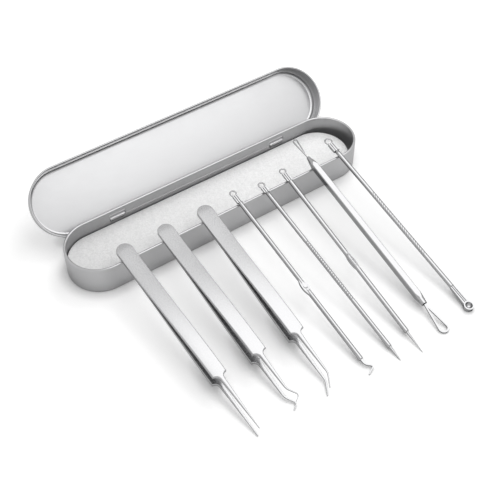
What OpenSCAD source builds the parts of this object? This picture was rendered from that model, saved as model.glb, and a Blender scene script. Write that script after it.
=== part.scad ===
// Blackhead extractor kit: five extractors and three tweezers laid over the rim of their open hinged tin.
// Millimetres. X runs along the tin, Y to its back, Z up. The origin is the middle of the tin's underside.

/* [Tin] */
// Overall length of the tin's base
case_l = 180; // [160:1:210]
// Overall width of the tin's base
case_w = 36; // [32:0.5:44]
// Height of the base over its rolled rim
case_h = 17; // [15:0.25:22]
// Thickness of the tinplate
sheet = 0.4; // [0.3:0.05:0.5]
// Radius of the rim, which is rolled inwards
rim_r = 0.75; // [0.6:0.05:1]
// Radius at the foot of the base's wall
foot_r = 0.8; // [0.6:0.05:1]
// Height of the top of the foam liner over the plate it lies on
liner_t = 6.7; // [4:0.1:7]
// Gap between the liner and the wall
liner_gap = 0.4; // [0.4:0.1:1]
// Extra gap at the right end, where the liner is cut short
liner_short = 3.3; // [0:0.1:6]

/* [Hinge] */
// Height of the hinge wire's axis
hinge_z = 9.6; // [9:0.1:11]
// Distance of the hinge wire's axis outside the back wall
hinge_out = 0.25; // [0.2:0.05:0.35]
// Radius of the hinge wire
wire_r = 0.5; // [0.4:0.05:0.55]
// Clearance round the wire in its groove
wire_fit = 0.03; // [0.02:0.01:0.05]
// Clearance between the wire and the lid's curled tabs
tab_fit = 0.15; // [0.05:0.05:0.2]
// Distance from the middle of the tin to the middle of each slot
slot_x = 51.75; // [40:0.25:60]
// Length of each slot
slot_l = 9.5; // [8:0.5:12]
// Lower edge of the slots
slot_low = 8.3; // [7.5:0.1:8.4]
// Upper edge of the slots
slot_top = 13; // [12.5:0.1:14]
// Gap beside each tab in its slot
tab_side = 0.4; // [0.2:0.1:0.8]

/* [Lid] */
// Angle of the open lid from closed
lid_open = 137.2; // [100:0.2:140]
// Mean gap between the lid's skirt and the base
lid_gap = 0.6; // [0.5:0.05:0.9]
// How far the closed lid sits forward of the base's middle line
lid_forward = 0.3; // [0.2:0.05:0.4]
// Extra gap at each end of the lid
lid_end_gap = 0.6; // [0.3:0.1:1.2]
// Height of the closed lid's edge over the hinge wire's axis
lid_edge_up = 1.1; // [1:0.05:1.3]
// Radius of the lid's edge, which is rolled outwards
curl_r = 0.5; // [0.45:0.05:0.6]
// Width of the lid's inner shoulder
shoulder_w = 0.8; // [0.6:0.1:1.2]
// Gap between the shoulder of the closed lid and the rim
shoulder_gap = 0.1; // [0.05:0.05:0.3]
// Radius of the lid's crown
crown_r = 1.9; // [1.2:0.1:2.5]

/* [Tweezers] */
// Width of the arms at the butt
butt_w = 9; // [7:0.1:10]
// Width of the arms at the shoulders
shoulder_arm_w = 7.5; // [6:0.1:8.5]
// Thickness of each arm at the butt
leaf_t = 0.95; // [0.7:0.05:1.2]
// Thickness of each arm at the shoulders
arm_t = 1.9; // [1.5:0.05:2.1]
// Thickness of each blade at its tip
point_t = 0.6; // [0.4:0.05:0.9]
// Length over which the arms are welded together
weld_l = 8; // [5:0.5:10]
// Distance from the butt to where the upper arm flexes
flex_s = 24; // [18:1:30]
// Distance from the butt to the shoulders
shoulder_s = 90; // [80:1:98]
// Width of the blades where they leave the shoulders
blade_w = 2.1; // [1.6:0.1:3]
// Width of the blades' points
point_w = 0.35; // [0.3:0.05:0.6]
// Length of the straight tweezers
straight_l = 122.2; // [115:0.2:130]
// Length of the hooked tweezers
hooked_l = 120.4; // [115:0.2:130]
// Length of the angled tweezers
angled_l = 123; // [115:0.2:130]
// Sideways reach of the hooked tweezers' bend
hook_side = 3.2; // [1.5:0.1:4]
// Length from the first bend of the hooked tweezers to their tip
hook_bend_l = 7.8; // [6:0.2:10]
// Length from the hooked tweezers' second bend to their tip
hook_back_l = 2.4; // [1.5:0.1:3.5]
// Sideways reach of the angled tweezers' points
angle_side = 3.7; // [2:0.1:5]
// Length of the angled tweezers' points
angle_l = 7; // [5:0.2:9]
// Half the height over the straight tweezers' shoulders
straight_rise = 4.65; // [4.4:0.05:5.3]
// Half the height over the hooked tweezers' shoulders
hooked_rise = 5.1; // [4.4:0.05:5.3]
// Half the height over the angled tweezers' shoulders
angled_rise = 4.72; // [4.4:0.05:5.3]
// How much the outer faces draw in from the shoulders to the points
point_drop = 0.3; // [0.1:0.05:0.6]

/* [Extractors] */
// Outer diameter of the small ring heads
ring_d = 4.2; // [3.6:0.1:5]
// Diameter of the ring heads' wire
ring_wire = 0.8; // [0.6:0.05:1]
// Width of the small ring heads' flat necks
neck_w = 3; // [2.6:0.1:3.4]
// Thickness of the small ring heads' flat necks
neck_t = 1.3; // [1.1:0.1:1.6]
// Width of the slits along the necks
slit_w = 0.45; // [0.3:0.05:0.6]
// Depth of the slits
slit_depth = 0.45; // [0.3:0.05:0.5]
// Radius of the tangs that hold the heads in the handles
tang_r = 0.5; // [0.4:0.05:0.6]
// Length of the tangs
tang_l = 4; // [3:0.5:6]
// Clearance round the tangs
tang_fit = 0.03; // [0.02:0.01:0.05]
// Clearance between a tang's end and the bottom of its socket
tang_end_gap = 0.3; // [0.1:0.1:0.5]
// Depth of the knurling
knurl_depth = 0.12; // [0.08:0.01:0.2]

/* [Hook extractor] */
// Length of the hook extractor
hook_l = 123; // [118:0.5:130]
// Radius of its handle
hook_rod_r = 1.2; // [1:0.05:1.5]
// Distance from its rear end to its handle
hook_rod_from = 7; // [5:0.5:9]
// Distance from its rear end to the middle of the finger rest
press_s = 67.5; // [55:0.5:80]
// Length of the finger rest
press_l = 13; // [10:0.5:16]
// Width of the finger rest
press_w = 3.75; // [2.6:0.05:4.5]
// Thickness of the finger rest
press_t = 1.7; // [1.3:0.1:2.2]
// Diameter of the hook's wire
hook_wire = 1.1; // [0.8:0.05:1.3]
// Length of the hook in front of the handle
hook_point_l = 8.3; // [7:0.1:10]
// Length from the hook's first bend to its tip
hook_reach = 5.6; // [4.5:0.1:7]
// Length from the hook's crest to its tip
hook_crest_l = 2.6; // [1.8:0.1:3.5]
// Sideways reach of the hook's crest
hook_crest = 3.2; // [2:0.1:4]
// How far the hook's tip comes back past its axis
hook_tip_back = 1.4; // [0:0.1:2]

/* [Needle extractor] */
// Length of the needle extractor
needle_l = 122; // [118:0.5:130]
// Radius of its handle
needle_rod_r = 1.13; // [1:0.01:1.5]
// Distance from its rear end to its handle
needle_rod_from = 5.5; // [4.5:0.5:8]
// Length of the needle in front of the handle
needle_point_l = 8.4; // [6:0.2:14]
// Distance from its rear end to the knurled grip
needle_knurl_from = 42; // [30:1:50]
// Distance from its rear end to the end of the grip
needle_knurl_to = 83; // [70:1:95]
// Spacing of the fine knurl
fine_pitch = 1.1; // [0.9:0.1:1.6]

/* [Lance extractor] */
// Length of the lance extractor
lance_l = 126.4; // [120:0.2:132]
// Radius of its handle
lance_rod_r = 1.25; // [1:0.05:1.5]
// Distance from its rear end to its handle
lance_rod_from = 7.5; // [5:0.5:9]
// Length of the lance in front of the handle
lance_point_l = 12.8; // [9:0.2:16]
// Diameter of the lance at the handle
lance_d = 1.3; // [1:0.05:1.5]
// Distance from its rear end to the middle of the fluted bulge
bulge_s = 66.5; // [55:0.5:80]
// Length of the bulge
bulge_l = 13; // [9:0.5:16]
// Radius of the bulge
bulge_r = 1.8; // [1.6:0.05:2.3]
// Distance from the axis to the bulge's flat facet
facet_h = 1.2; // [1.1:0.05:1.4]
// Turn of the facet from straight up to the right
facet_turn = 35; // [0:5:60]
// Number of grooves along the facet
grooves = 5; // [3:1:6]

/* [Cup extractor] */
// Length of the cup extractor
cup_l = 125.7; // [120:0.1:130]
// Radius of its handle
cup_rod_r = 1.25; // [1:0.05:1.5]
// Outer diameter of its ring head
big_ring_d = 4.7; // [4.4:0.1:6]
// Distance from its rear end to its handle
cup_rod_from = 8; // [6.5:0.5:10]
// Distance from its rear end to the knurled grip
cup_knurl_from = 41; // [30:1:50]
// Distance from its rear end to the end of the grip
cup_knurl_to = 86; // [70:1:95]
// Spacing of the coarse knurl
coarse_pitch = 2.1; // [1.6:0.1:3]
// Length from the handle to the cup's front
cup_neck_l = 15.8; // [12:0.2:20]
// Width of its flat necks
cup_neck_w = 3.4; // [2.8:0.1:4]
// Thickness of its flat necks
cup_neck_t = 1.8; // [1.4:0.1:2.1]
// Outer diameter of the cup
cup_d = 5.3; // [4.8:0.1:6]
// Diameter of the cup's round hollow
cup_hole_d = 3.8; // [3:0.1:4.2]
// Height of the cup
cup_h = 2.2; // [1.8:0.1:3]

/* [Loop extractor] */
// Length from loop end to loop end
loop_l = 138.9; // [134:0.1:146]
// Width of the bar
bar_w = 3.5; // [3:0.1:4.2]
// Height of the bar
bar_h = 3.9; // [3.2:0.1:4.4]
// Where the bar begins, behind which the small loop stands
bar_from = 14; // [12:0.5:18]
// Where the bar ends, in front of which the large loop stands
bar_to = 120.5; // [115:0.5:124]
// Length of the cones that the bar's ends are turned to
cone_l = 8; // [5:0.5:12]
// Radius of the bar's end at the small loop
small_end_r = 0.8; // [0.7:0.05:1.2]
// Radius of the bar's end at the large loop
large_end_r = 1.5; // [1:0.05:1.8]
// Outer radius of the small loop
small_loop_r = 1.45; // [1.2:0.05:1.8]
// Outer radius of the large loop
large_loop_r = 2.8; // [2.2:0.05:3.2]
// Width of the small loop's band
small_band_w = 0.45; // [0.35:0.05:0.6]
// Width of the large loop's band
large_band_w = 0.85; // [0.5:0.05:1]
// Height of the loops' band
band_h = 0.9; // [0.6:0.1:1.2]

/* [Layout on the rim] */
// Gap between each tool and the rim or the table
rest_gap = 0.1; // [0.05:0.05:0.3]
// Where the straight tweezers cross the rim
straight_x = -63.5; // [-66:0.1:-61]
// Where the hooked tweezers cross the rim
hooked_x = -39.5; // [-42:0.1:-37]
// Where the angled tweezers cross the rim
angled_x = -15.6; // [-18:0.1:-13]
// Where the hook extractor crosses the rim
hook_x = 3.6; // [1.5:0.1:5.5]
// Where the needle extractor crosses the rim
needle_x = 20; // [18:0.1:22]
// Where the lance extractor crosses the rim
lance_x = 35.2; // [33:0.1:37]
// Where the loop extractor crosses the rim
loop_x = 52.5; // [50.5:0.1:54.5]
// Where the cup extractor crosses the rim
cup_x = 69.8; // [67.5:0.1:71.5]
// Turn of the straight tweezers to the right
straight_turn = 0.9; // [-3:0.1:3]
// Turn of the hooked tweezers to the right
hooked_turn = -0.4; // [-3:0.1:3]
// Turn of the angled tweezers to the right
angled_turn = -1.7; // [-3:0.1:3]
// Turn of the hook extractor to the right
hook_turn = -0.65; // [-3:0.05:3]
// Turn of the needle extractor to the right
needle_turn = -0.65; // [-3:0.05:3]
// Turn of the lance extractor to the right
lance_turn = -2.2; // [-3:0.1:3]
// Turn of the loop extractor to the right
loop_turn = -2.1; // [-3:0.1:3]
// Turn of the cup extractor to the right
cup_turn = -1.2; // [-3:0.1:3]
// Length of the tweezers behind the rim
tweezers_behind = 8.6; // [6:0.1:12]
// Length of the hook extractor behind the rim
hook_behind = 7.15; // [5:0.05:9]
// Length of the needle extractor behind the rim
needle_behind = 4.25; // [3:0.05:7]
// Length of the lance extractor behind the rim
lance_behind = 6.2; // [5:0.1:9]
// Length of the loop extractor behind the rim
loop_behind = 21; // [19:0.1:23]
// Length of the cup extractor behind the rim
cup_behind = 10.9; // [9:0.1:13]

/* [Hidden] */
$fn = 64;
// Overrun of a cut past the face it leaves
over = 0.5;
half_w = case_w / 2;
flat_l = case_l / 2 - half_w;
// Hinge wire, its groove and the lid's tabs, all about one axis
hinge_y = half_w + hinge_out;
wire_end_gap = 0.1;
groove_r = wire_r + wire_fit;
ridge_wall = 0.47;
ridge_r = groove_r + ridge_wall;
ridge_end_gap = 1;
tab_in_r = wire_r + tab_fit;
tab_out_r = tab_in_r + sheet;
tab_root = 1;
slot_in = slot_x - slot_l / 2;
slot_out = slot_x + slot_l / 2;
// The lid, closed: its edge lies at lid_edge_z and its shoulder just over the rim
lid_edge_z = hinge_z + lid_edge_up;
lid_in = half_w + lid_gap;
lid_flat_l = flat_l + lid_end_gap;
shoulder_z = case_h + shoulder_gap - lid_edge_z;
// Where the tools rest: the middle of the rolled rim along the front
rim_y = -(half_w - rim_r);
rim_z = case_h - rim_r;
// Tweezers
arm_steps = 22;
blade_steps = 5;
flex_gap = 0.04;
notch_r = (shoulder_arm_w - blade_w) / 2;
blade_s = shoulder_s + notch_r;
butt_r = butt_w / 2;
path_steps = 6;
arm_turn_l = 1.6;
// Extractors
socket_r = tang_r + tang_fit;
socket_l = tang_l + tang_end_gap;
edge_r = 0.35;

function clamp01(t) = min(1, max(0, t));
function ease(t) = t * t * (3 - 2 * t);
function unit(v) = v / norm(v);

// Outline of the tin: two half circles joined by straight sides
module stadium(half_l, r) {
    for (end = [-1, 1])
        translate([end * half_l, 0]) circle(r);
    square([2 * half_l, 2 * r], center = true);
}

// Sweeps a wall section round that outline
module sweep_round(half_l) {
    for (side = [0, 1]) {
        mirror([0, side, 0])
            rotate([90, 0, 90])
                linear_extrude(2 * half_l, center = true) children();
        mirror([side, 0, 0])
            translate([half_l, 0, 0])
                rotate([0, 0, -90])
                    rotate_extrude(angle = 180) children();
    }
}

// Quarter of a bent sheet, curving from outwards to upwards or downwards
module bent_corner(r, up) {
    intersection() {
        difference() {
            circle(r);
            circle(r - sheet);
        }
        translate([0, up ? 0 : -r]) square(r);
    }
}

// A rod along X from one station to another
module rod(from, to, r1, r2) {
    translate([from, 0, 0])
        rotate([0, 90, 0]) cylinder(h = to - from, r1 = r1, r2 = r2);
}

module base_section() {
    translate([half_w - foot_r, foot_r]) bent_corner(foot_r, false);
    translate([half_w - sheet, foot_r]) square([sheet, case_h - rim_r - foot_r]);
    translate([half_w - rim_r, case_h - rim_r]) circle(rim_r);
}

module along_hinge(from, to, r) {
    translate([0, hinge_y, hinge_z]) rod(from, to, r, r);
}

module case_base() {
    color("silver")
    difference() {
        union() {
            sweep_round(flat_l) base_section();
            linear_extrude(sheet) stadium(flat_l, half_w - foot_r);
            // Ridge that the groove for the wire raises inside the wall
            difference() {
                along_hinge(-slot_in + ridge_end_gap, slot_in - ridge_end_gap, ridge_r);
                translate([-slot_in, half_w, hinge_z - 2 * ridge_r])
                    cube([2 * slot_in, 2 * ridge_r, 4 * ridge_r]);
            }
        }
        along_hinge(-slot_in - over, slot_in + over, groove_r);
        for (side = [-1, 1])
            translate([side * slot_x - slot_l / 2, half_w - sheet - over, slot_low])
                cube([slot_l, sheet + 2 * over, slot_top - slot_low]);
    }
}

module foam_liner() {
    color("whitesmoke")
    translate([0, 0, sheet])
        linear_extrude(liner_t) {
            r = half_w - sheet - liner_gap;
            translate([-flat_l, 0]) circle(r);
            translate([flat_l - liner_short, 0]) circle(r);
            translate([-flat_l, -r]) square([2 * flat_l - liner_short, 2 * r]);
        }
}

module hinge_wire() {
    color("gray") along_hinge(-slot_out + wire_end_gap, slot_out - wire_end_gap, wire_r);
}

module lid_section() {
    crown_x = lid_in - shoulder_w + sheet - crown_r;
    translate([lid_in + curl_r, curl_r]) circle(curl_r);
    translate([lid_in, curl_r]) square([sheet, shoulder_z + sheet - curl_r]);
    translate([lid_in - shoulder_w, shoulder_z]) square([shoulder_w + sheet, sheet]);
    translate([crown_x, shoulder_z + sheet]) bent_corner(crown_r, true);
}

// Tabs of the lid, which curl round the hinge wire in the slots
module lid_tab() {
    tab_from = slot_in + tab_side;
    tab_to = slot_out - tab_side;
    difference() {
        union() {
            along_hinge(tab_from, tab_to, tab_out_r);
            translate([tab_from, lid_in - lid_forward, hinge_z + tab_in_r / 2])
                cube([tab_to - tab_from, sheet, lid_edge_up + tab_root]);
        }
        along_hinge(tab_from - over, tab_to + over, tab_in_r);
    }
}

module closed_lid() {
    translate([0, -lid_forward, lid_edge_z]) {
        sweep_round(lid_flat_l) lid_section();
        translate([0, 0, shoulder_z + crown_r])
            linear_extrude(sheet)
                stadium(lid_flat_l, lid_in - shoulder_w + sheet - crown_r);
    }
    for (side = [0, 1])
        mirror([side, 0, 0]) lid_tab();
}

module lid() {
    color("gainsboro")
    translate([0, hinge_y, hinge_z])
        rotate([-lid_open, 0, 0])
            translate([0, -hinge_y, -hinge_z]) closed_lid();
}

// Pitch of a tool whose underside passes over the rim and whose tip stands on the table.
// under: axis to underside at the rim; reach: rim to tip; drop: axis to the lowest point of the tip
function pitch(under, reach, drop) =
    let (rise = rim_r + rest_gap + under - drop)
    atan2(rise, reach) + asin((rim_z - rest_gap) / norm([rise, reach]));

// Lays a tool, drawn along X from its rear end, over the front rim
module on_rim(x, turn, behind, under, tip_s, drop) {
    translate([x, rim_y, rim_z])
        rotate([0, 0, turn - 90])
            rotate([0, pitch(under, tip_s - behind, drop), 0])
                translate([-behind, 0, rim_r + rest_gap + under]) children();
}

// Half height of the pair of arms at station s
function arm_outer(s, rise, tip) =
    s < shoulder_s
        ? leaf_t + (rise - leaf_t) * ease(clamp01((s - weld_l) / (shoulder_s - weld_l)))
        : rise - point_drop * (s - shoulder_s) / (tip - shoulder_s);
function arm_thick(s, tip) =
    s < shoulder_s
        ? leaf_t + (arm_t - leaf_t) * ease(clamp01((s - weld_l) / (shoulder_s - weld_l)))
        : arm_t - (arm_t - point_t) * (s - shoulder_s) / (tip - shoulder_s);
function arm_inner(s, rise, tip) = arm_outer(s, rise, tip) - arm_thick(s, tip);

// Stations of an arm's side view between two stations
function arm_stations(from, to, tip) =
    let (
        bow = [for (i = [0 : arm_steps]) weld_l + (shoulder_s - weld_l) * i / arm_steps],
        blade = [for (i = [1 : blade_steps]) shoulder_s + (tip - shoulder_s) * i / blade_steps]
    )
    concat([from], [for (s = concat(bow, blade)) if (s > from && s < to) s], [to]);

module arm_side(from, to, rise, tip) {
    stations = arm_stations(from, to, tip);
    last = len(stations) - 1;
    polygon(concat(
        [for (s = stations) [s, arm_outer(s, rise, tip)]],
        [for (i = [last : -1 : 0]) [stations[i], arm_inner(stations[i], rise, tip)]]
    ));
}

// Path through the control points, with each corner rounded over a run of turn_l on both sides
function bend_path(ctrl, turn_l) =
    let (last = len(ctrl) - 1)
    concat(
        [ctrl[0]],
        [for (i = [1 : last - 1], j = [0 : path_steps])
            let (
                a = ctrl[i] - unit(ctrl[i] - ctrl[i - 1]) * turn_l,
                b = ctrl[i] + unit(ctrl[i + 1] - ctrl[i]) * turn_l,
                t = j / path_steps
            )
            a * pow(1 - t, 2) + ctrl[i] * 2 * t * (1 - t) + b * t * t],
        [ctrl[last]]
    );
function path_l(p, i) = i == 0 ? 0 : path_l(p, i - 1) + norm(p[i] - p[i - 1]);
function path_dir(p, i) = unit(p[min(i + 1, len(p) - 1)] - p[max(i - 1, 0)]);

// Flat outline along a path, tapering from one width to another
module ribbon(p, w1, w2) {
    last = len(p) - 1;
    sides = [for (i = [0 : last])
        let (d = path_dir(p, i))
        [-d[1], d[0]] * (w1 + (w2 - w1) * path_l(p, i) / path_l(p, last)) / 2];
    polygon(concat([for (i = [0 : last]) p[i] + sides[i]], [for (i = [last : -1 : 0]) p[i] - sides[i]]));
}

// Upright prism over the plan of an arm: round butt, tapering arm, concave shoulders and the blade
module arm_prism(h, blade_path) {
    half_shoulder = shoulder_arm_w / 2;
    // The sides leave the round butt as tangents and run to the shoulders
    corner = [shoulder_s - butt_r, half_shoulder];
    leave = atan2(corner[1], corner[0]) + acos(butt_r / norm(corner));
    side_from = [butt_r + butt_r * cos(leave), butt_r * sin(leave)];
    translate([butt_r, 0, 0]) cylinder(h = h, r = butt_r, center = true);
    difference() {
        linear_extrude(h, center = true)
            polygon([
                side_from, [shoulder_s, half_shoulder], [blade_s, half_shoulder],
                [blade_s, -half_shoulder], [shoulder_s, -half_shoulder], [side_from[0], -side_from[1]]
            ]);
        for (side = [-1, 1])
            translate([blade_s, side * half_shoulder, 0])
                cylinder(h = h + over, r = notch_r, center = true);
    }
    linear_extrude(h, center = true) ribbon(blade_path, blade_w, point_w);
}

module arm(from, to, rise, tip, blade_path) {
    intersection() {
        rotate([90, 0, 0])
            linear_extrude(2 * butt_w, center = true) arm_side(from, to, rise, tip);
        arm_prism(4 * rise, blade_path);
    }
}

function straight_path() = [[blade_s - notch_r / 2, 0], [straight_l, 0]];
function hooked_path() = bend_path([
    [blade_s - notch_r / 2, 0], [hooked_l - hook_bend_l, 0],
    [hooked_l - hook_back_l, hook_side], [hooked_l, 0]
], arm_turn_l);
function angled_path() = bend_path([
    [blade_s - notch_r / 2, 0], [angled_l - angle_l, 0], [angled_l, -angle_side]
], arm_turn_l);

module straight_tweezers(lower, from, to) {
    on_rim(straight_x, straight_turn, tweezers_behind, leaf_t, straight_l, straight_rise - point_drop)
        mirror([0, 0, lower ? 1 : 0]) arm(from, to, straight_rise, straight_l, straight_path());
}
module hooked_tweezers(lower, from, to) {
    on_rim(hooked_x, hooked_turn, tweezers_behind, leaf_t, hooked_l, hooked_rise - point_drop)
        mirror([0, 0, lower ? 1 : 0]) arm(from, to, hooked_rise, hooked_l, hooked_path());
}
module angled_tweezers(lower, from, to) {
    on_rim(angled_x, angled_turn, tweezers_behind, leaf_t, angled_l, angled_rise - point_drop)
        mirror([0, 0, lower ? 1 : 0]) arm(from, to, angled_rise, angled_l, angled_path());
}

module straight_lower_arm() { color("silver") straight_tweezers(true, 0, straight_l); }
module straight_upper_root() { color("lightgray") straight_tweezers(false, 0, flex_s - flex_gap / 2); }
module straight_upper_arm() { color("gainsboro") straight_tweezers(false, flex_s + flex_gap / 2, straight_l); }
module hooked_lower_arm() { color("silver") hooked_tweezers(true, 0, hooked_l); }
module hooked_upper_root() { color("lightgray") hooked_tweezers(false, 0, flex_s - flex_gap / 2); }
module hooked_upper_arm() { color("gainsboro") hooked_tweezers(false, flex_s + flex_gap / 2, hooked_l); }
module angled_lower_arm() { color("silver") angled_tweezers(true, 0, angled_l); }
module angled_upper_root() { color("lightgray") angled_tweezers(false, 0, flex_s - flex_gap / 2); }
module angled_upper_arm() { color("gainsboro") angled_tweezers(false, flex_s + flex_gap / 2, angled_l); }

// Flat neck between a handle and a head, with two slits along each face
module slit_neck(from, to, w_from, w_to, t) {
    slit_y = min(w_from, w_to) / 5;
    difference() {
        linear_extrude(t, center = true)
            polygon([[from, w_from / 2], [to, w_to / 2], [to, -w_to / 2], [from, -w_from / 2]]);
        for (side = [-1, 1], face = [0, 1])
            mirror([0, 0, face])
                translate([from, side * slit_y - slit_w / 2, t / 2 - slit_depth])
                    cube([to - from, slit_w, t]);
    }
}

// Ring head: a closed wire ring on a flat slit neck, with a tang for the handle
module ring_head(d, rod_from, w, t) {
    mean_r = (d - ring_wire) / 2;
    rotate_extrude() translate([mean_r, 0]) circle(ring_wire / 2);
    slit_neck(mean_r, rod_from, w, w, t);
    rod(rod_from - edge_r, rod_from + tang_l, tang_r, tang_r);
}

// Plain handle with rounded ends and a socket at each end
module handle_blank(from, to, r) {
    difference() {
        translate([from, 0, 0])
            rotate([0, 90, 0])
                rotate_extrude()
                    polygon([
                        [0, 0], [r - edge_r, 0], [r, edge_r],
                        [r, to - from - edge_r], [r - edge_r, to - from], [0, to - from]
                    ]);
        rod(from - over, from + socket_l, socket_r, socket_r);
        rod(to - socket_l, to + over, socket_r, socket_r);
    }
}

// Ring grooves of a knurled grip
module knurl_grooves(from, to, r, spacing) {
    for (x = [from : spacing : to])
        translate([x, 0, 0])
            rotate([0, 90, 0])
                rotate_extrude()
                    polygon([
                        [r - knurl_depth, 0],
                        [r + knurl_depth, 2 * knurl_depth],
                        [r + knurl_depth, -2 * knurl_depth]
                    ]);
}

// Hook extractor
hook_turn_l = 1.2;
hook_rod_to = hook_l - hook_point_l;
scoop_r = 14;
dimple_r = 3;
dimple_depth = 0.25;

module on_hook_tool() {
    on_rim(hook_x, hook_turn, hook_behind, hook_rod_r, hook_l, hook_wire / 2) children();
}
module hook_ring_head() {
    color("silver") on_hook_tool() ring_head(ring_d, hook_rod_from, neck_w, neck_t);
}

// Oval leaf as wide as w and as long as l
module lens(l, w) {
    r = (l * l + w * w) / (4 * w);
    intersection_for (side = [-1, 1])
        translate([0, side * (r - w / 2)]) circle(r, $fn = 96);
}

module hook_handle() {
    color("gainsboro")
    on_hook_tool()
    difference() {
        union() {
            difference() {
                handle_blank(hook_rod_from, hook_rod_to, hook_rod_r);
                for (side = [-1, 1])
                    translate([press_s, 0, side * (scoop_r + press_t / 2)])
                        rotate([90, 0, 0]) cylinder(h = 4 * hook_rod_r, r = scoop_r, center = true);
            }
            translate([press_s, 0, 0])
                linear_extrude(press_t, center = true) lens(press_l, press_w);
        }
        translate([press_s, 0, press_t / 2 + dimple_r - dimple_depth]) sphere(dimple_r);
    }
}

module hook_point() {
    color("silver")
    on_hook_tool() {
        rod(hook_rod_to - tang_l, hook_rod_to, tang_r, tang_r);
        intersection() {
            linear_extrude(hook_wire, center = true)
                ribbon(bend_path([
                    [hook_rod_to, 0], [hook_l - hook_reach, 0],
                    [hook_l - hook_crest_l, hook_crest], [hook_l, -hook_tip_back]
                ], hook_turn_l), hook_wire, point_w);
            rotate([90, 0, 0])
                linear_extrude(2 * (hook_crest + hook_wire), center = true)
                    polygon([
                        [hook_rod_to, hook_wire / 2], [hook_l + over, point_w / 2],
                        [hook_l + over, -hook_wire / 2], [hook_rod_to, -hook_wire / 2]
                    ]);
        }
    }
}

// Needle extractor
needle_rod_to = needle_l - needle_point_l;
needle_tip_r = 0.15;

module on_needle_tool() {
    on_rim(needle_x, needle_turn, needle_behind, needle_rod_r, needle_l, needle_tip_r) children();
}
module needle_ring_head() {
    color("silver") on_needle_tool() ring_head(ring_d, needle_rod_from, neck_w, neck_t);
}
module needle_handle() {
    color("gainsboro")
    on_needle_tool()
    difference() {
        handle_blank(needle_rod_from, needle_rod_to, needle_rod_r);
        knurl_grooves(needle_knurl_from, needle_knurl_to, needle_rod_r, fine_pitch);
    }
}
module needle_point() {
    color("silver")
    on_needle_tool() {
        rod(needle_rod_to - tang_l, needle_rod_to, tang_r, tang_r);
        rod(needle_rod_to, needle_l, needle_rod_r - edge_r, needle_tip_r);
    }
}

// Lance extractor
lance_rod_to = lance_l - lance_point_l;
facet_groove_r = 0.2;
groove_step = 0.5;
// Length left of the bulge in front of its facet, where the facet ends in a step
facet_stop = 1;
facet_from = bulge_s - bulge_l / 2;
facet_to = bulge_s + bulge_l / 2 - facet_stop;
// Length of the lens that the bulge is cut from, over the bulge's own
bulge_cut = 4;
lance_tip_r = 0.12;

module on_lance_tool() {
    on_rim(lance_x, lance_turn, lance_behind, lance_rod_r, lance_l, lance_tip_r) children();
}
module lance_ring_head() {
    color("silver") on_lance_tool() ring_head(ring_d, lance_rod_from, neck_w, neck_t);
}
module lance_handle() {
    color("gainsboro")
    on_lance_tool()
    difference() {
        union() {
            handle_blank(lance_rod_from, lance_rod_to, lance_rod_r);
            translate([bulge_s, 0, 0])
                rotate([0, 90, 0])
                    rotate_extrude()
                        intersection() {
                            rotate([0, 0, 90]) lens(bulge_l + bulge_cut, 2 * bulge_r);
                            translate([0, -bulge_l / 2]) square([bulge_r, bulge_l]);
                        }
        }
        // Grooved facet for the finger
        rotate([-facet_turn, 0, 0]) {
            translate([facet_from, -bulge_r, facet_h])
                cube([facet_to - facet_from, 2 * bulge_r, bulge_r]);
            for (i = [0 : grooves - 1])
                translate([0, (i - (grooves - 1) / 2) * groove_step, facet_h])
                    rod(facet_from, facet_to, facet_groove_r, facet_groove_r);
        }
    }
}
module lance_point() {
    color("silver")
    on_lance_tool() {
        rod(lance_rod_to - tang_l, lance_rod_to, tang_r, tang_r);
        rod(lance_rod_to, lance_l, lance_d / 2, lance_tip_r);
    }
}

// Loop extractor
// How far each loop's sides run on into the bar's end before they would meet
small_loop_run = 2;
large_loop_run = 3;

module on_loop_tool() {
    on_rim(loop_x, loop_turn, loop_behind, bar_h / 2, loop_l, band_h / 2) children();
}

// Round end drawn to a point: tangents from the apex to the circle
module teardrop(centre, apex, r) {
    turn = acos(r / abs(centre - apex));
    way = sign(apex - centre);
    translate([centre, 0]) circle(r);
    polygon([
        [apex, 0],
        [centre + way * r * cos(turn), r * sin(turn)],
        [centre + way * r * cos(turn), -r * sin(turn)]
    ]);
}
module loop_band(centre, apex, r, w) {
    way = sign(apex - centre);
    linear_extrude(band_h, center = true)
        difference() {
            teardrop(centre, apex, r);
            teardrop(centre, apex - way * w * abs(apex - centre) / r, r - w);
        }
}
// Rectangular bar whose ends are turned to cones
module loop_bar() {
    corner_r = norm([bar_w, bar_h]) / 2;
    bar_l = bar_to - bar_from;
    color("gainsboro")
    on_loop_tool()
    difference() {
        intersection() {
            translate([bar_from, 0, 0])
                rotate([0, 90, 0])
                    rotate_extrude()
                        polygon([
                            [0, 0], [small_end_r, 0], [corner_r, cone_l],
                            [corner_r, bar_l - cone_l], [large_end_r, bar_l], [0, bar_l]
                        ]);
            rotate([90, 0, 90])
                linear_extrude(loop_l)
                    polygon([for (m = [[1, 1], [-1, 1], [-1, -1], [1, -1]])
                        for (k = m[0] * m[1] > 0 ? [0, 1] : [1, 0])
                            [m[0] * (bar_w / 2 - k * edge_r), m[1] * (bar_h / 2 - (1 - k) * edge_r)]]);
        }
        rod(bar_from - over, bar_from + socket_l, socket_r, socket_r);
        rod(bar_to - socket_l, bar_to + over, socket_r, socket_r);
    }
}
module loop_small_loop() {
    color("silver")
    on_loop_tool() {
        difference() {
            loop_band(small_loop_r, bar_from + small_loop_run, small_loop_r, small_band_w);
            translate([bar_from, -bar_w, -bar_h]) cube([2 * small_loop_run, 2 * bar_w, 2 * bar_h]);
        }
        rod(bar_from - over, bar_from + tang_l, band_h / 2, tang_r);
    }
}
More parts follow.
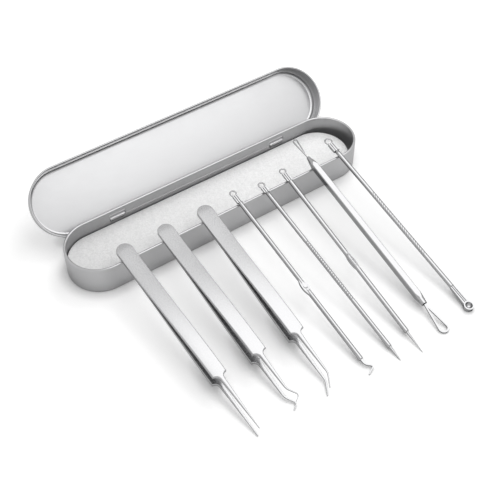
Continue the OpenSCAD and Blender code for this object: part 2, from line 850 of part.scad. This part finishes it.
module loop_large_loop() {
    color("silver")
    on_loop_tool() {
        difference() {
            loop_band(loop_l - large_loop_r, bar_to - large_loop_run, large_loop_r, large_band_w);
            translate([bar_to - 2 * large_loop_run, -bar_w, -bar_h])
                cube([2 * large_loop_run, 2 * bar_w, 2 * bar_h]);
        }
        rod(bar_to - tang_l, bar_to + over, tang_r, band_h / 2);
    }
}

// Cup extractor
cup_neck_from = cup_l - cup_neck_l;
cup_centre = cup_l - cup_d / 2;

module on_cup_tool() {
    on_rim(cup_x, cup_turn, cup_behind, cup_rod_r, cup_l, cup_h / 2) children();
}

module cup_ring_head() {
    color("silver") on_cup_tool() ring_head(big_ring_d, cup_rod_from, cup_neck_w, cup_neck_t);
}
module cup_handle() {
    color("gainsboro")
    on_cup_tool()
    difference() {
        handle_blank(cup_rod_from, cup_neck_from, cup_rod_r);
        knurl_grooves(cup_knurl_from, cup_knurl_to, cup_rod_r, coarse_pitch);
    }
}
module cup_end() {
    depth = cup_h - sheet;
    bowl_r = (pow(cup_hole_d / 2, 2) + pow(depth, 2)) / (2 * depth);
    color("silver")
    on_cup_tool() {
        rod(cup_neck_from - tang_l, cup_neck_from, tang_r, tang_r);
        difference() {
            union() {
                slit_neck(cup_neck_from, cup_centre, 2 * cup_rod_r, cup_neck_w, cup_neck_t);
                translate([cup_centre, 0, 0]) cylinder(h = cup_h, d = cup_d, center = true);
            }
            translate([cup_centre, 0, cup_h / 2 - depth + bowl_r]) sphere(bowl_r);
        }
    }
}

case_base();
foam_liner();
hinge_wire();
lid();
straight_lower_arm();
straight_upper_root();
straight_upper_arm();
hooked_lower_arm();
hooked_upper_root();
hooked_upper_arm();
angled_lower_arm();
angled_upper_root();
angled_upper_arm();
hook_ring_head();
hook_handle();
hook_point();
needle_ring_head();
needle_handle();
needle_point();
lance_ring_head();
lance_handle();
lance_point();
loop_small_loop();
loop_bar();
loop_large_loop();
cup_ring_head();
cup_handle();
cup_end();
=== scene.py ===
"""Looks of the blackhead extractor kit: tinplate, foam and polished steel around the frame."""
import math
from typing import NamedTuple

import bpy
import bmesh
import numpy as np
from mathutils import Matrix, Vector


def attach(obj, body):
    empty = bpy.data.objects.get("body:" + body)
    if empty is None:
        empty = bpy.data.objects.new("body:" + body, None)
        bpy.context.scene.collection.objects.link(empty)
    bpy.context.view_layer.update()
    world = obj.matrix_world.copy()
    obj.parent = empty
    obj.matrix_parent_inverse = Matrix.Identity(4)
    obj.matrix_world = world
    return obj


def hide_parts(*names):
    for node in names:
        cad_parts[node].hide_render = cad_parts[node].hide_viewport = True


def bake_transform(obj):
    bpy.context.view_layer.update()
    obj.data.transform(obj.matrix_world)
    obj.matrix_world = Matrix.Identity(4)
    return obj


MM = 0.001
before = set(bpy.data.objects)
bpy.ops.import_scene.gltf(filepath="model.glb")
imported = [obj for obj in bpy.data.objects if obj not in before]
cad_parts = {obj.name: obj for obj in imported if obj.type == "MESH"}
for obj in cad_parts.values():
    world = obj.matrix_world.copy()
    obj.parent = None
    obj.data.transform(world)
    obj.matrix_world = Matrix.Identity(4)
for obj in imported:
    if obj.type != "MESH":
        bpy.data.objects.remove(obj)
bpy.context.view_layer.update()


# Small helpers

# Points of a mesh closer than this are one, in metres
MERGE = 1e-7


def link(obj):
    bpy.context.scene.collection.objects.link(obj)
    return obj


def mesh_object(name, points, faces, material, sharp_degrees=32):
    """A smooth-shaded mesh piece from points in metres, with edges over an angle kept sharp."""
    mesh = bpy.data.meshes.new(name)
    mesh.from_pydata([tuple(p) for p in points], [], faces)
    mesh.validate()
    bm = bmesh.new()
    bm.from_mesh(mesh)
    bmesh.ops.remove_doubles(bm, verts=bm.verts, dist=MERGE)
    bmesh.ops.recalc_face_normals(bm, faces=bm.faces)
    for face in bm.faces:
        face.smooth = True
    for edge in bm.edges:
        if len(edge.link_faces) == 2:
            edge.smooth = edge.calc_face_angle(0) < math.radians(sharp_degrees)
    bm.to_mesh(mesh)
    bm.free()
    mesh.materials.append(material)
    return link(bpy.data.objects.new(name, mesh))


def ring_faces(rings, count):
    """Quads between successive closed rings of equal length."""
    faces = []
    for ring in range(rings - 1):
        near, far = ring * count, (ring + 1) * count
        for i in range(count):
            j = (i + 1) % count
            faces.append((near + i, near + j, far + j, far + i))
    return faces


def capped_faces(rings, count):
    """Quads between successive rings, and one face over the first ring and over the last."""
    last = (rings - 1) * count
    first_face = tuple(range(count))
    last_face = tuple(range(last, last + count))[::-1]
    return ring_faces(rings, count) + [first_face, last_face]


def ease(t):
    """Smooth step from nought to one."""
    t = min(1.0, max(0.0, t))
    return t * t * (3 - 2 * t)


# Node materials

# Sockets of the Mix node when it mixes colours
MIX_DARK = 6
MIX_LIGHT = 7
MIX_RESULT = 2


class Nodes:
    """Short way to build a node tree around a Principled shader."""

    SOCKETS = {
        "metal": "Metallic",
        "rough": "Roughness",
        "sheen": "Sheen Weight",
        "specular": "Specular IOR Level",
        "edge": "Specular Tint",
    }

    def __init__(self, name):
        self.material = bpy.data.materials.new(name)
        self.material.use_nodes = True
        self.tree = self.material.node_tree
        self.tree.nodes.clear()
        self.out = self.add("ShaderNodeOutputMaterial")
        self.shader = self.add("ShaderNodeBsdfPrincipled")
        self.link(self.shader.outputs[0], self.out.inputs["Surface"])
        self.coords = self.add("ShaderNodeTexCoord").outputs["Object"]

    def add(self, kind, **values):
        node = self.tree.nodes.new(kind)
        for key, value in values.items():
            setattr(node, key, value)
        return node

    def link(self, a, b):
        self.tree.links.new(a, b)

    def set(self, **values):
        """Constants of the shader, on its own sockets."""
        for key, value in values.items():
            self.shader.inputs[self.SOCKETS[key]].default_value = value

    def scaled(self, scale):
        mapping = self.add("ShaderNodeMapping")
        mapping.inputs["Scale"].default_value = scale
        self.link(self.coords, mapping.inputs["Vector"])
        return mapping.outputs["Vector"]

    def noise(self, vector, scale, detail=4.0, rough=0.5):
        noise = self.add("ShaderNodeTexNoise")
        noise.inputs["Scale"].default_value = scale
        noise.inputs["Detail"].default_value = detail
        noise.inputs["Roughness"].default_value = rough
        self.link(vector, noise.inputs["Vector"])
        return noise.outputs["Fac"]

    def math(self, operation, a, b):
        node = self.add("ShaderNodeMath", operation=operation)
        for socket, value in zip(node.inputs, (a, b)):
            if isinstance(value, (int, float)):
                socket.default_value = value
            else:
                self.link(value, socket)
        return node.outputs[0]

    def span(self, value, low, high, from_low=0.3, from_high=0.7):
        """A value's range carried over to low and high; a noise stays mostly in 0.3 to 0.7."""
        ramp = self.add("ShaderNodeMapRange")
        ramp.inputs["From Min"].default_value = from_low
        ramp.inputs["From Max"].default_value = from_high
        ramp.inputs["To Min"].default_value = low
        ramp.inputs["To Max"].default_value = high
        self.link(value, ramp.inputs["Value"])
        return ramp.outputs["Result"]

    def tint(self, value, dark, light):
        """Base colour between dark and light."""
        mix = self.add("ShaderNodeMix", data_type="RGBA")
        mix.inputs[MIX_DARK].default_value = (*dark, 1)
        mix.inputs[MIX_LIGHT].default_value = (*light, 1)
        self.link(value, mix.inputs[0])
        self.link(mix.outputs[MIX_RESULT], self.shader.inputs["Base Color"])

    def bump(self, height, distance, strength=1.0):
        bump = self.add("ShaderNodeBump")
        bump.inputs["Strength"].default_value = strength
        bump.inputs["Distance"].default_value = distance
        self.link(height, bump.inputs["Height"])
        self.link(bump.outputs["Normal"], self.shader.inputs["Normal"])


# Scale of the soft smudges on metal, and how far smudges and streaks each move its roughness
SMUDGE_SCALE = 60
SMOOTHER = 0.02
ROUGHER = 0.03


def steel(name, shade, rough, streak, edge, variation=0.015, bump=0.000003):
    """Steel or tinplate: fine drawn streaks, scaled by streak along X, Y and Z, and smudges.

    Its grey varies by variation, and edge is how pale it is at a grazing view.
    """
    m = Nodes(name)
    m.set(metal=1.0, edge=(edge, edge, edge, 1))
    smudge = m.noise(m.coords, SMUDGE_SCALE, 5, 0.6)
    grain = m.noise(m.scaled(streak), 1.0, 3, 0.6)
    m.tint(smudge, [c - variation for c in shade], [c + variation for c in shade])
    drawn = m.span(grain, -SMOOTHER, ROUGHER)
    handled = m.span(smudge, rough - SMOOTHER, rough + ROUGHER)
    m.link(m.math("ADD", drawn, handled), m.shader.inputs["Roughness"])
    m.bump(grain, bump)
    return m.material


FOAM_CELL_SCALE = 1500
FOAM_MOTTLE_SCALE = 900
FOAM_DARK = 0.76
FOAM_LIGHT = 0.97
FOAM_BUMP = 0.0002


def foam(name):
    """White foam: fine cells over a faint mottle."""
    m = Nodes(name)
    m.set(rough=0.9, specular=0.25, sheen=0.1)
    cells = m.add("ShaderNodeTexVoronoi", feature="F1")
    cells.inputs["Scale"].default_value = FOAM_CELL_SCALE
    m.link(m.coords, cells.inputs["Vector"])
    mottle = m.noise(m.coords, FOAM_MOTTLE_SCALE, 6, 0.8)
    m.tint(m.span(mottle, 0, 1), (FOAM_DARK,) * 3, (FOAM_LIGHT,) * 3)
    m.bump(m.math("ADD", cells.outputs["Distance"], mottle), FOAM_BUMP, 0.7)
    return m.material


TINPLATE = steel("tinplate", (0.43, 0.43, 0.435), rough=0.32,
                 streak=(150, 1800, 1800), edge=0.75, variation=0.02)
FOAM = foam("liner_foam")
WIRE = steel("wire_steel", (0.37, 0.37, 0.38), rough=0.3,
             streak=(100, 3000, 3000), edge=0.3)
TWEEZERS = steel("tweezers_steel", (0.41, 0.41, 0.415), rough=0.26,
                 streak=(9000, 300, 9000), edge=0.6, bump=0.0000006)
HANDLE = steel("handle_steel", (0.39, 0.39, 0.395), rough=0.10,
               streak=(9000, 300, 9000), edge=0.05, bump=0.0000006)
HEAD = steel("head_steel", (0.385, 0.385, 0.39), rough=0.11,
             streak=(1500, 1500, 1500), edge=0.05)


def material_of(node):
    if node in ("case_base", "lid"):
        return TINPLATE
    if node == "foam_liner":
        return FOAM
    if node == "hinge_wire":
        return WIRE
    if node.endswith(("_arm", "_root")):
        return TWEEZERS
    if node.endswith(("_handle", "_bar")):
        return HANDLE
    return HEAD


for node_name, node_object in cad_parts.items():
    for material_slot in node_object.material_slots:
        material_slot.material = material_of(node_name)


# Placing the tools, in millimetres as the part's source has them

# The front rim that they lie over: its roll's radius and centre, and the gap left over the rim
# and under the tips
RIM_R = 0.75
RIM_Y = -17.25
RIM_Z = 16.25
REST_GAP = 0.1


def over_rim(x, turn, behind, under, tip_s, drop):
    """It crosses the rim at x, which is behind along the tool, and its tip is tip_s along. Its
    underside is under below its axis at the rim, and drop below it at the tip.
    """
    rise = RIM_R + REST_GAP + under - drop
    reach = tip_s - behind
    pitch = math.atan2(rise, reach) + math.asin((RIM_Z - REST_GAP) / math.hypot(rise, reach))
    return (Matrix.Scale(MM, 4)
            @ Matrix.Translation((x, RIM_Y, RIM_Z))
            @ Matrix.Rotation(math.radians(turn - 90), 4, "Z")
            @ Matrix.Rotation(pitch, 4, "Y")
            @ Matrix.Translation((-behind, 0, RIM_R + REST_GAP + under)))


def placed(points, place):
    return [place @ Vector(p) for p in points]


# Tweezers

# Thickness of an arm at the weld, at the shoulders and at the point
LEAF_T = 0.95
ARM_T = 1.9
POINT_T = 0.6
# Where the weld ends and where the shoulders are, along the tool
WELD_L = 8.0
SHOULDER_S = 90.0
# Plan: radius of the butt, half width at the shoulders, width of the blade and of the point
BUTT_R = 4.5
SHOULDER_HALF = 3.75
BLADE_W = 2.1
POINT_W = 0.35
NOTCH_R = SHOULDER_HALF - BLADE_W / 2
BLADE_S = SHOULDER_S + NOTCH_R
# How much nearer the points are than the shoulders, on each arm
POINT_DROP = 0.3
# Where the tweezers cross the rim, along the tool
BEHIND = 8.6
# Rounding of the arms' outer edges, as a share of their thickness, and of the edges at the gap
OUTER_EDGE = 0.28
INNER_EDGE = 0.15
# Length over which a bend in the blade is rounded, on each side
TURN_L = 1.6
# A stretch of the upper arm along the tool; make_tweezers computes its end points but nothing
# uses them
BEND_FROM = 12.0
BEND_TO = 36.0

# Divisions of the plan's outline and of a rounded edge
BUTT_STEPS = 22
BUTT_FIRST = 0.02
SIDE_STEPS = 40
NOTCH_STEPS = 12
EDGE_STEPS = 4
TURN_STEPS = 8
BLADE_SPACING = 2.5
# Least share that an inset keeps at a sharp corner, so that it doesn't run away
CORNER_SHARE = 0.5


class Tweezers(NamedTuple):
    """Place on the rim, turn, length, half height over the shoulders, corners of the blade."""

    x: float
    turn: float
    tip: float
    rise: float
    corners: list

    def place(self):
        return over_rim(self.x, self.turn, BEHIND, LEAF_T, self.tip, self.rise - POINT_DROP)


TWEEZERS_SET = {
    "straight": Tweezers(-63.5, 0.9, 122.2, 4.65, [(0, 0), (122.2, 0)]),
    "hooked": Tweezers(-39.5, -0.4, 120.4, 5.1, [(0, 0), (112.6, 0), (118.0, 3.2), (120.4, 0)]),
    "angled": Tweezers(-15.6, -1.7, 123.0, 4.72, [(0, 0), (116.0, 0), (123.0, -3.7)]),
}


def arm_outer(s, rise, tip):
    """Height of an arm's outer face over the middle plane, along the tool."""
    if s < SHOULDER_S:
        return LEAF_T + (rise - LEAF_T) * ease((s - WELD_L) / (SHOULDER_S - WELD_L))
    return rise - POINT_DROP * (s - SHOULDER_S) / (tip - SHOULDER_S)


def arm_thick(s, tip):
    if s < SHOULDER_S:
        return LEAF_T + (ARM_T - LEAF_T) * ease((s - WELD_L) / (SHOULDER_S - WELD_L))
    return ARM_T - (ARM_T - POINT_T) * (s - SHOULDER_S) / (tip - SHOULDER_S)


def rounded_path(corners):
    """Path through corners with each bend rounded and the straights divided."""
    corners = [Vector(c) for c in corners]
    path = [corners[0]]
    for before, corner, after in zip(corners, corners[1:], corners[2:]):
        a = corner - (corner - before).normalized() * TURN_L
        b = corner + (after - corner).normalized() * TURN_L
        for j in range(TURN_STEPS + 1):
            t = j / TURN_STEPS
            path.append(a * (1 - t) ** 2 + corner * 2 * t * (1 - t) + b * t * t)
    path.append(corners[-1])
    fine = [path[0]]
    for a, b in zip(path, path[1:]):
        parts = max(1, math.ceil((b - a).length / BLADE_SPACING))
        fine += [a.lerp(b, k / parts) for k in range(1, parts + 1)]
    return fine


def arm_outline(corners):
    """Left and right sides of an arm's plan from butt to point, in pairs."""
    shoulder = Vector((SHOULDER_S, SHOULDER_HALF))
    from_butt = shoulder - Vector((BUTT_R, 0))
    leave = math.atan2(from_butt.y, from_butt.x) + math.acos(BUTT_R / from_butt.length)
    left = []
    for k in range(BUTT_STEPS + 1):
        share = BUTT_FIRST + (1 - BUTT_FIRST) * k / BUTT_STEPS
        angle = math.pi - (math.pi - leave) * share
        left.append(Vector((BUTT_R + BUTT_R * math.cos(angle), BUTT_R * math.sin(angle))))
    start = left[-1]
    left += [start.lerp(shoulder, k / SIDE_STEPS) for k in range(1, SIDE_STEPS + 1)]
    for k in range(1, NOTCH_STEPS + 1):
        angle = math.pi * (1 + 0.5 * k / NOTCH_STEPS)
        left.append(Vector((BLADE_S + NOTCH_R * math.cos(angle),
                            SHOULDER_HALF + NOTCH_R * math.sin(angle))))
    right = [Vector((p.x, -p.y)) for p in left]
    path = rounded_path([(BLADE_S, 0)] + corners[1:])
    lengths = [0.0]
    for a, b in zip(path, path[1:]):
        lengths.append(lengths[-1] + (b - a).length)
    for k in range(1, len(path)):
        way = (path[min(k + 1, len(path) - 1)] - path[k - 1]).normalized()
        half = (BLADE_W + (POINT_W - BLADE_W) * lengths[k] / lengths[-1]) / 2
        side = Vector((-way.y, way.x)) * half
        left.append(path[k] + side)
        right.append(path[k] - side)
    return left, right


def inset(loop, amounts):
    """A closed plan outline drawn inwards by an amount at each point."""
    result = []
    count = len(loop)
    for i, point in enumerate(loop):
        a = (point - loop[i - 1]).normalized()
        b = (loop[(i + 1) % count] - point).normalized()
        normal = Vector((a.y + b.y, -a.x - b.x))
        normal = normal.normalized() if normal.length > 1e-6 else Vector((a.y, -a.x))
        spread = max(CORNER_SHARE, normal.dot(Vector((b.y, -b.x))))
        result.append(point + normal * (amounts[i] / spread))
    return result


def arm_mesh(name, pair, lower):
    """One bowed arm with rounded edges: rings of its plan outline, closed by strips across."""
    left, right = arm_outline(pair.corners)
    pairs = len(left)
    loop = left + right[::-1]
    along = [min(pair.tip, max(0.0, p.x)) for p in loop]
    rings = []
    for top in (True, False):
        share = OUTER_EDGE if top else INNER_EDGE
        edges = [arm_thick(s, pair.tip) * share for s in along]
        for k in range(EDGE_STEPS + 1):
            angle = math.pi / 2 * (k / EDGE_STEPS if top else 1 - k / EDGE_STEPS)
            plan = inset(loop, [e * (1 - math.sin(angle)) for e in edges])
            ring = []
            for p, e in zip(plan, edges):
                s = min(pair.tip, max(0.0, p.x))
                outer = arm_outer(s, pair.rise, pair.tip)
                thick = arm_thick(s, pair.tip)
                drop = e * (1 - math.cos(angle))
                ring.append((p.x, p.y, outer - drop if top else outer - thick + drop))
            rings.append(ring)
    count = len(loop)
    points = [p for ring in rings for p in ring]
    faces = ring_faces(len(rings), count)
    for base in (0, (len(rings) - 1) * count):
        for i in range(pairs - 1):
            faces.append((base + i, base + i + 1,
                          base + count - 2 - i, base + count - 1 - i))
    if lower:
        points = [(px, py, -pz) for px, py, pz in points]
    return mesh_object(name, placed(points, pair.place()), faces, TWEEZERS)


def make_tweezers():
    for kind, pair in TWEEZERS_SET.items():
        body = kind + "_tweezers"
        lower = arm_mesh(kind + "_lower_leaf", pair, True)
        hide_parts(kind + "_lower_arm")
        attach(lower, body)
        upper = arm_mesh(kind + "_upper_leaf", pair, False)
        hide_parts(kind + "_upper_root", kind + "_upper_arm")
        pair.place() @ Vector((BEND_FROM, 0, 0))
        pair.place() @ Vector((BEND_TO, 0, 0))
        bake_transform(upper)


# Knurled handles

# A handle's rounded ends: distance from the end, and how far inside the full radius
END_ROUND = [(0.0, 0.35), (0.1, 0.17), (0.35, 0.0)]
# Rings along the plain stretches, which stay clear of the ends and of the grip
PLAIN_RINGS = 8
END_CLEAR = 2
GRIP_CLEAR = 0.2
# Width of a groove, rings along it, and the length over which the grooves fade at a grip's ends
GROOVE_W = 0.60
GROOVE_RINGS = 6
FADE_L = 0.8
# Edges over this angle in degrees stay sharp
GRIP_SHARP = 40


class Knurled(NamedTuple):
    """A rod's ends and radius, its grip's ends, and the helical grooves round the grip."""

    start: float
    end: float
    r: float
    grip_from: float
    grip_to: float
    pitch: float
    starts: int
    depth: float
    around: int


NEEDLE_ROD = Knurled(start=5.5, end=113.6, r=1.13, grip_from=42, grip_to=83,
                     pitch=1.52, starts=1, depth=0.24, around=72)
CUP_ROD = Knurled(start=8, end=109.9, r=1.25, grip_from=41, grip_to=88.5,
                  pitch=1.85, starts=4, depth=0.20, around=120)


def knurled_handle(name, place, rod):
    """A rod with a grip of helical V grooves a pitch apart, closed at both rounded ends."""
    plain_from = np.linspace(rod.start + END_CLEAR, rod.grip_from - GRIP_CLEAR, PLAIN_RINGS)
    plain_to = np.linspace(rod.grip_to + GRIP_CLEAR, rod.end - END_CLEAR, PLAIN_RINGS)
    grip = np.arange(rod.grip_from, rod.grip_to, GROOVE_W / GROOVE_RINGS)
    stations = [(rod.start + along, rod.r - inside) for along, inside in END_ROUND]
    stations += [(s, rod.r) for s in (*plain_from, *grip, *plain_to)]
    stations += [(rod.end - along, rod.r - inside) for along, inside in END_ROUND[::-1]]
    points = []
    for s, radius in stations:
        fade = min(1.0, max(0.0, min(s - rod.grip_from, rod.grip_to - s) / FADE_L))
        for i in range(rod.around):
            turn = i / rod.around
            wave = (rod.starts * turn + (s - rod.grip_from) / rod.pitch) % 1.0
            groove = max(0.0, 1 - abs(wave - 0.5) * rod.pitch / (GROOVE_W / 2))
            rho = radius - rod.depth * fade * groove
            angle = 2 * math.pi * turn
            points.append((s, rho * math.sin(angle), rho * math.cos(angle)))
    faces = capped_faces(len(stations), rod.around)
    return mesh_object(name, placed(points, place), faces, HANDLE, GRIP_SHARP)


def make_knurled_handles():
    needle_place = over_rim(x=20, turn=-0.65, behind=4.25, under=1.13, tip_s=122, drop=0.15)
    needle = knurled_handle("needle_grip", needle_place, NEEDLE_ROD)
    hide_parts("needle_handle")
    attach(needle, "needle_extractor")
    cup_place = over_rim(x=69.8, turn=-1.2, behind=10.9, under=1.25, tip_s=125.7, drop=1.1)
    cup = knurled_handle("cup_grip", cup_place, CUP_ROD)
    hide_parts("cup_handle")
    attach(cup, "cup_extractor")


# Foam liner, in millimetres

LINER_LOW = 0.4
LINER_TOP = 7.1
LINER_R = 17.2
# Centres of its round ends
LINER_LEFT = -72.0
LINER_RIGHT = 68.7
# Radius of its soft edge, and the angles that divide it
LINER_SOFT = 0.5
SOFT_ANGLES = (0.5, 1.0, math.pi / 2)
# Points round an end and along a side, and rings over the top
ARC_STEPS = 90
LONG_STEPS = 160
TOP_RINGS = 26
TOP_EDGE = 0.7
TOP_MIDDLE = 0.05
# The top's faint waves: how many are summed, radians per millimetre, height and mean depth
WAVES = 24
WAVE_LOW = 0.4
WAVE_HIGH = 2.2
WAVE_H = 0.012
WAVE_DEPTH = 0.06
WAVE_SEED = 7
# Edges over this angle in degrees stay sharp
LINER_SHARP = 50


def liner_outline():
    """Centre and direction of each point round the pad: left end, front, right end, back."""
    length = LINER_RIGHT - LINER_LEFT
    outline = []
    for k in range(ARC_STEPS):
        angle = math.pi / 2 + math.pi * k / ARC_STEPS
        outline.append((LINER_LEFT, math.cos(angle), math.sin(angle)))
    for k in range(LONG_STEPS):
        outline.append((LINER_LEFT + length * k / LONG_STEPS, 0.0, -1.0))
    for k in range(ARC_STEPS):
        angle = -math.pi / 2 + math.pi * k / ARC_STEPS
        outline.append((LINER_RIGHT, math.cos(angle), math.sin(angle)))
    for k in range(LONG_STEPS):
        outline.append((LINER_RIGHT - length * k / LONG_STEPS, 0.0, 1.0))
    return outline


def liner_rings():
    """Radius and height of each ring, from the bottom edge up and in over the top."""
    rings = [(LINER_R, LINER_LOW), (LINER_R, LINER_LOW + 2),
             (LINER_R, LINER_TOP - 2), (LINER_R, LINER_TOP - LINER_SOFT)]
    for angle in SOFT_ANGLES:
        rings.append((LINER_R - LINER_SOFT * (1 - math.cos(angle)),
                      LINER_TOP - LINER_SOFT * (1 - math.sin(angle))))
    inner = np.linspace(LINER_R - LINER_SOFT - TOP_EDGE, TOP_MIDDLE, TOP_RINGS)
    return rings + [(rho, LINER_TOP) for rho in inner]


def make_liner():
    """The foam sheet: a soft-edged pad with a faintly uneven top."""
    outline = liner_outline()
    rings = liner_rings()
    points = np.array([[cx + rho * dx, rho * dy, z]
                       for rho, z in rings for cx, dx, dy in outline])
    top = points[:, 2] > LINER_TOP - 0.01
    rng = np.random.default_rng(WAVE_SEED)
    waves = np.zeros(len(points))
    for _ in range(WAVES):
        direction = rng.normal(size=2)
        direction /= np.linalg.norm(direction)
        waves += np.sin(points[:, :2] @ direction * rng.uniform(WAVE_LOW, WAVE_HIGH)
                        + rng.uniform(0, 6.28))
    points[:, 2] += np.where(top, -WAVE_DEPTH + WAVE_H * waves, 0)
    faces = capped_faces(len(rings), len(outline))
    liner = mesh_object("foam_pad", points * MM, faces, FOAM, LINER_SHARP)
    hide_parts("foam_liner")
    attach(liner, "case")


# Floor, lights and camera

FLOOR_HALF = 4.0
FLOOR_SHADES = ((0.855, 0.855, 0.855), (0.865, 0.865, 0.865))
# The lamps' pool of light on the floor: its middle, and the distances over which it falls off
POOL_AT = (0.09, -0.05, 0.0)
POOL_NEAR = 0.04
POOL_MID = 0.15
POOL_FAR = 0.45
# What is added to the floor's own white at those distances, for rays that look at it
FLOOR_NEAR_LIFT = 0.12
FLOOR_MID_LIFT = 0.36
FLOOR_FAR_LIFT = 0.66
# Within this reach of the kit the added white is cut by an ambient occlusion term raised to
# this power, which paints a contact shadow on the floor
PAINTED_SHADOW_REACH = 0.007
PAINTED_SHADOW_POWER = 2.0
# Light of the white world on surfaces; rays that look at it see it at full white
WORLD_LIGHT = 0.47
WORLD_SEEN = 1.0


def seen_rays(tree):
    """One where a camera, glossy or transmission ray looks, and nought for the rest."""
    paths = tree.nodes.new("ShaderNodeLightPath").outputs
    seen = paths["Is Camera Ray"]
    for ray in ("Is Glossy Ray", "Is Transmission Ray"):
        either = tree.nodes.new("ShaderNodeMath")
        either.operation = "MAXIMUM"
        tree.links.new(seen, either.inputs[0])
        tree.links.new(paths[ray], either.inputs[1])
        seen = either.outputs[0]
    return seen


def make_floor():
    m = Nodes("floor_white")
    m.set(rough=0.9, specular=0.1)
    m.tint(m.noise(m.coords, 40, 3), *FLOOR_SHADES)
    shift = m.add("ShaderNodeVectorMath", operation="DISTANCE")
    shift.inputs[1].default_value = POOL_AT
    m.link(m.coords, shift.inputs[0])
    away = shift.outputs["Value"]
    inner = m.span(away, FLOOR_NEAR_LIFT, FLOOR_MID_LIFT, POOL_NEAR, POOL_MID)
    outer = m.span(away, 0.0, FLOOR_FAR_LIFT - FLOOR_MID_LIFT, POOL_MID, POOL_FAR)
    white = m.math("ADD", inner, outer)
    # An ambient occlusion term scales down the seen white close to the kit: a painted contact
    # shadow on the floor
    near = m.add("ShaderNodeAmbientOcclusion", samples=8)
    near.inputs["Distance"].default_value = PAINTED_SHADOW_REACH
    painted_shadow_share = m.math("POWER", near.outputs["AO"], PAINTED_SHADOW_POWER)
    seen_white = m.math("MULTIPLY", seen_rays(m.tree), white)
    lift = m.add("ShaderNodeEmission")
    m.link(m.math("MULTIPLY", seen_white, painted_shadow_share), lift.inputs["Strength"])
    both = m.add("ShaderNodeAddShader")
    m.link(m.shader.outputs[0], both.inputs[0])
    m.link(lift.outputs[0], both.inputs[1])
    m.link(both.outputs[0], m.out.inputs["Surface"])
    corners = [(-FLOOR_HALF, -FLOOR_HALF, 0), (FLOOR_HALF, -FLOOR_HALF, 0),
               (FLOOR_HALF, FLOOR_HALF, 0), (-FLOOR_HALF, FLOOR_HALF, 0)]
    mesh_object("floor", corners, [(0, 1, 2, 3)], m.material)


def make_world():
    world = bpy.data.worlds.new("studio")
    bpy.context.scene.world = world
    world.use_nodes = True
    tree = world.node_tree
    tree.nodes.clear()
    out = tree.nodes.new("ShaderNodeOutputWorld")
    background = tree.nodes.new("ShaderNodeBackground")
    background.inputs["Color"].default_value = (1, 1, 1, 1)
    strength = tree.nodes.new("ShaderNodeMapRange")
    strength.inputs["To Min"].default_value = WORLD_LIGHT
    strength.inputs["To Max"].default_value = WORLD_SEEN
    tree.links.new(seen_rays(tree), strength.inputs["Value"])
    tree.links.new(strength.outputs["Result"], background.inputs["Strength"])
    tree.links.new(background.outputs[0], out.inputs["Surface"])


def softbox(name, at, target, size_x, size_y, radiance, turn=0.0, mirrored=True):
    """A rectangular softbox of even radiance, facing a point; metal may leave it out."""
    data = bpy.data.lights.new(name, "AREA")
    data.shape = "RECTANGLE"
    data.size = size_x
    data.size_y = size_y
    data.energy = radiance * math.pi * size_x * size_y
    lamp = link(bpy.data.objects.new(name, data))
    lamp.location = at
    facing = (Vector(at) - Vector(target)).to_track_quat("Z", "Y")
    turned = Matrix.Rotation(math.radians(turn), 3, "Z").to_quaternion()
    lamp.rotation_euler = (facing @ turned).to_euler()
    lamp.visible_camera = False
    lamp.visible_glossy = mirrored


# The photograph's camera: where it stands, its heading from +Y and how far it looks down
CAMERA_AT = (-0.18972, -0.31216, 0.38328)
CAMERA_HEADING = 34.1
CAMERA_DOWN = 48.82
CAMERA_LENS = 68.99
SENSOR = 36.0
CLIP_START = 0.01


def make_camera():
    data = bpy.data.cameras.new("camera")
    data.sensor_width = SENSOR
    data.lens = CAMERA_LENS
    data.clip_start = CLIP_START
    camera = link(bpy.data.objects.new("camera", data))
    camera.location = CAMERA_AT
    camera.rotation_euler = (math.radians(90 - CAMERA_DOWN), 0, math.radians(-CAMERA_HEADING))
    bpy.context.scene.camera = camera


make_camera()
make_tweezers()
make_knurled_handles()
make_liner()
bpy.context.scene.view_settings.view_transform = "Standard"
make_floor()
make_world()
# The key lies flat over the extractors and shows in the metal; the back one only lights
softbox("key", at=(0.115, -0.065, 0.26), target=(0.115, -0.065, 0.0),
        size_x=0.33, size_y=0.31, radiance=1.5, turn=4)
softbox("back", at=(0.40, 0.22, 0.52), target=(0.0, -0.04, 0.0),
        size_x=0.30, size_y=0.30, radiance=4.0, mirrored=False)
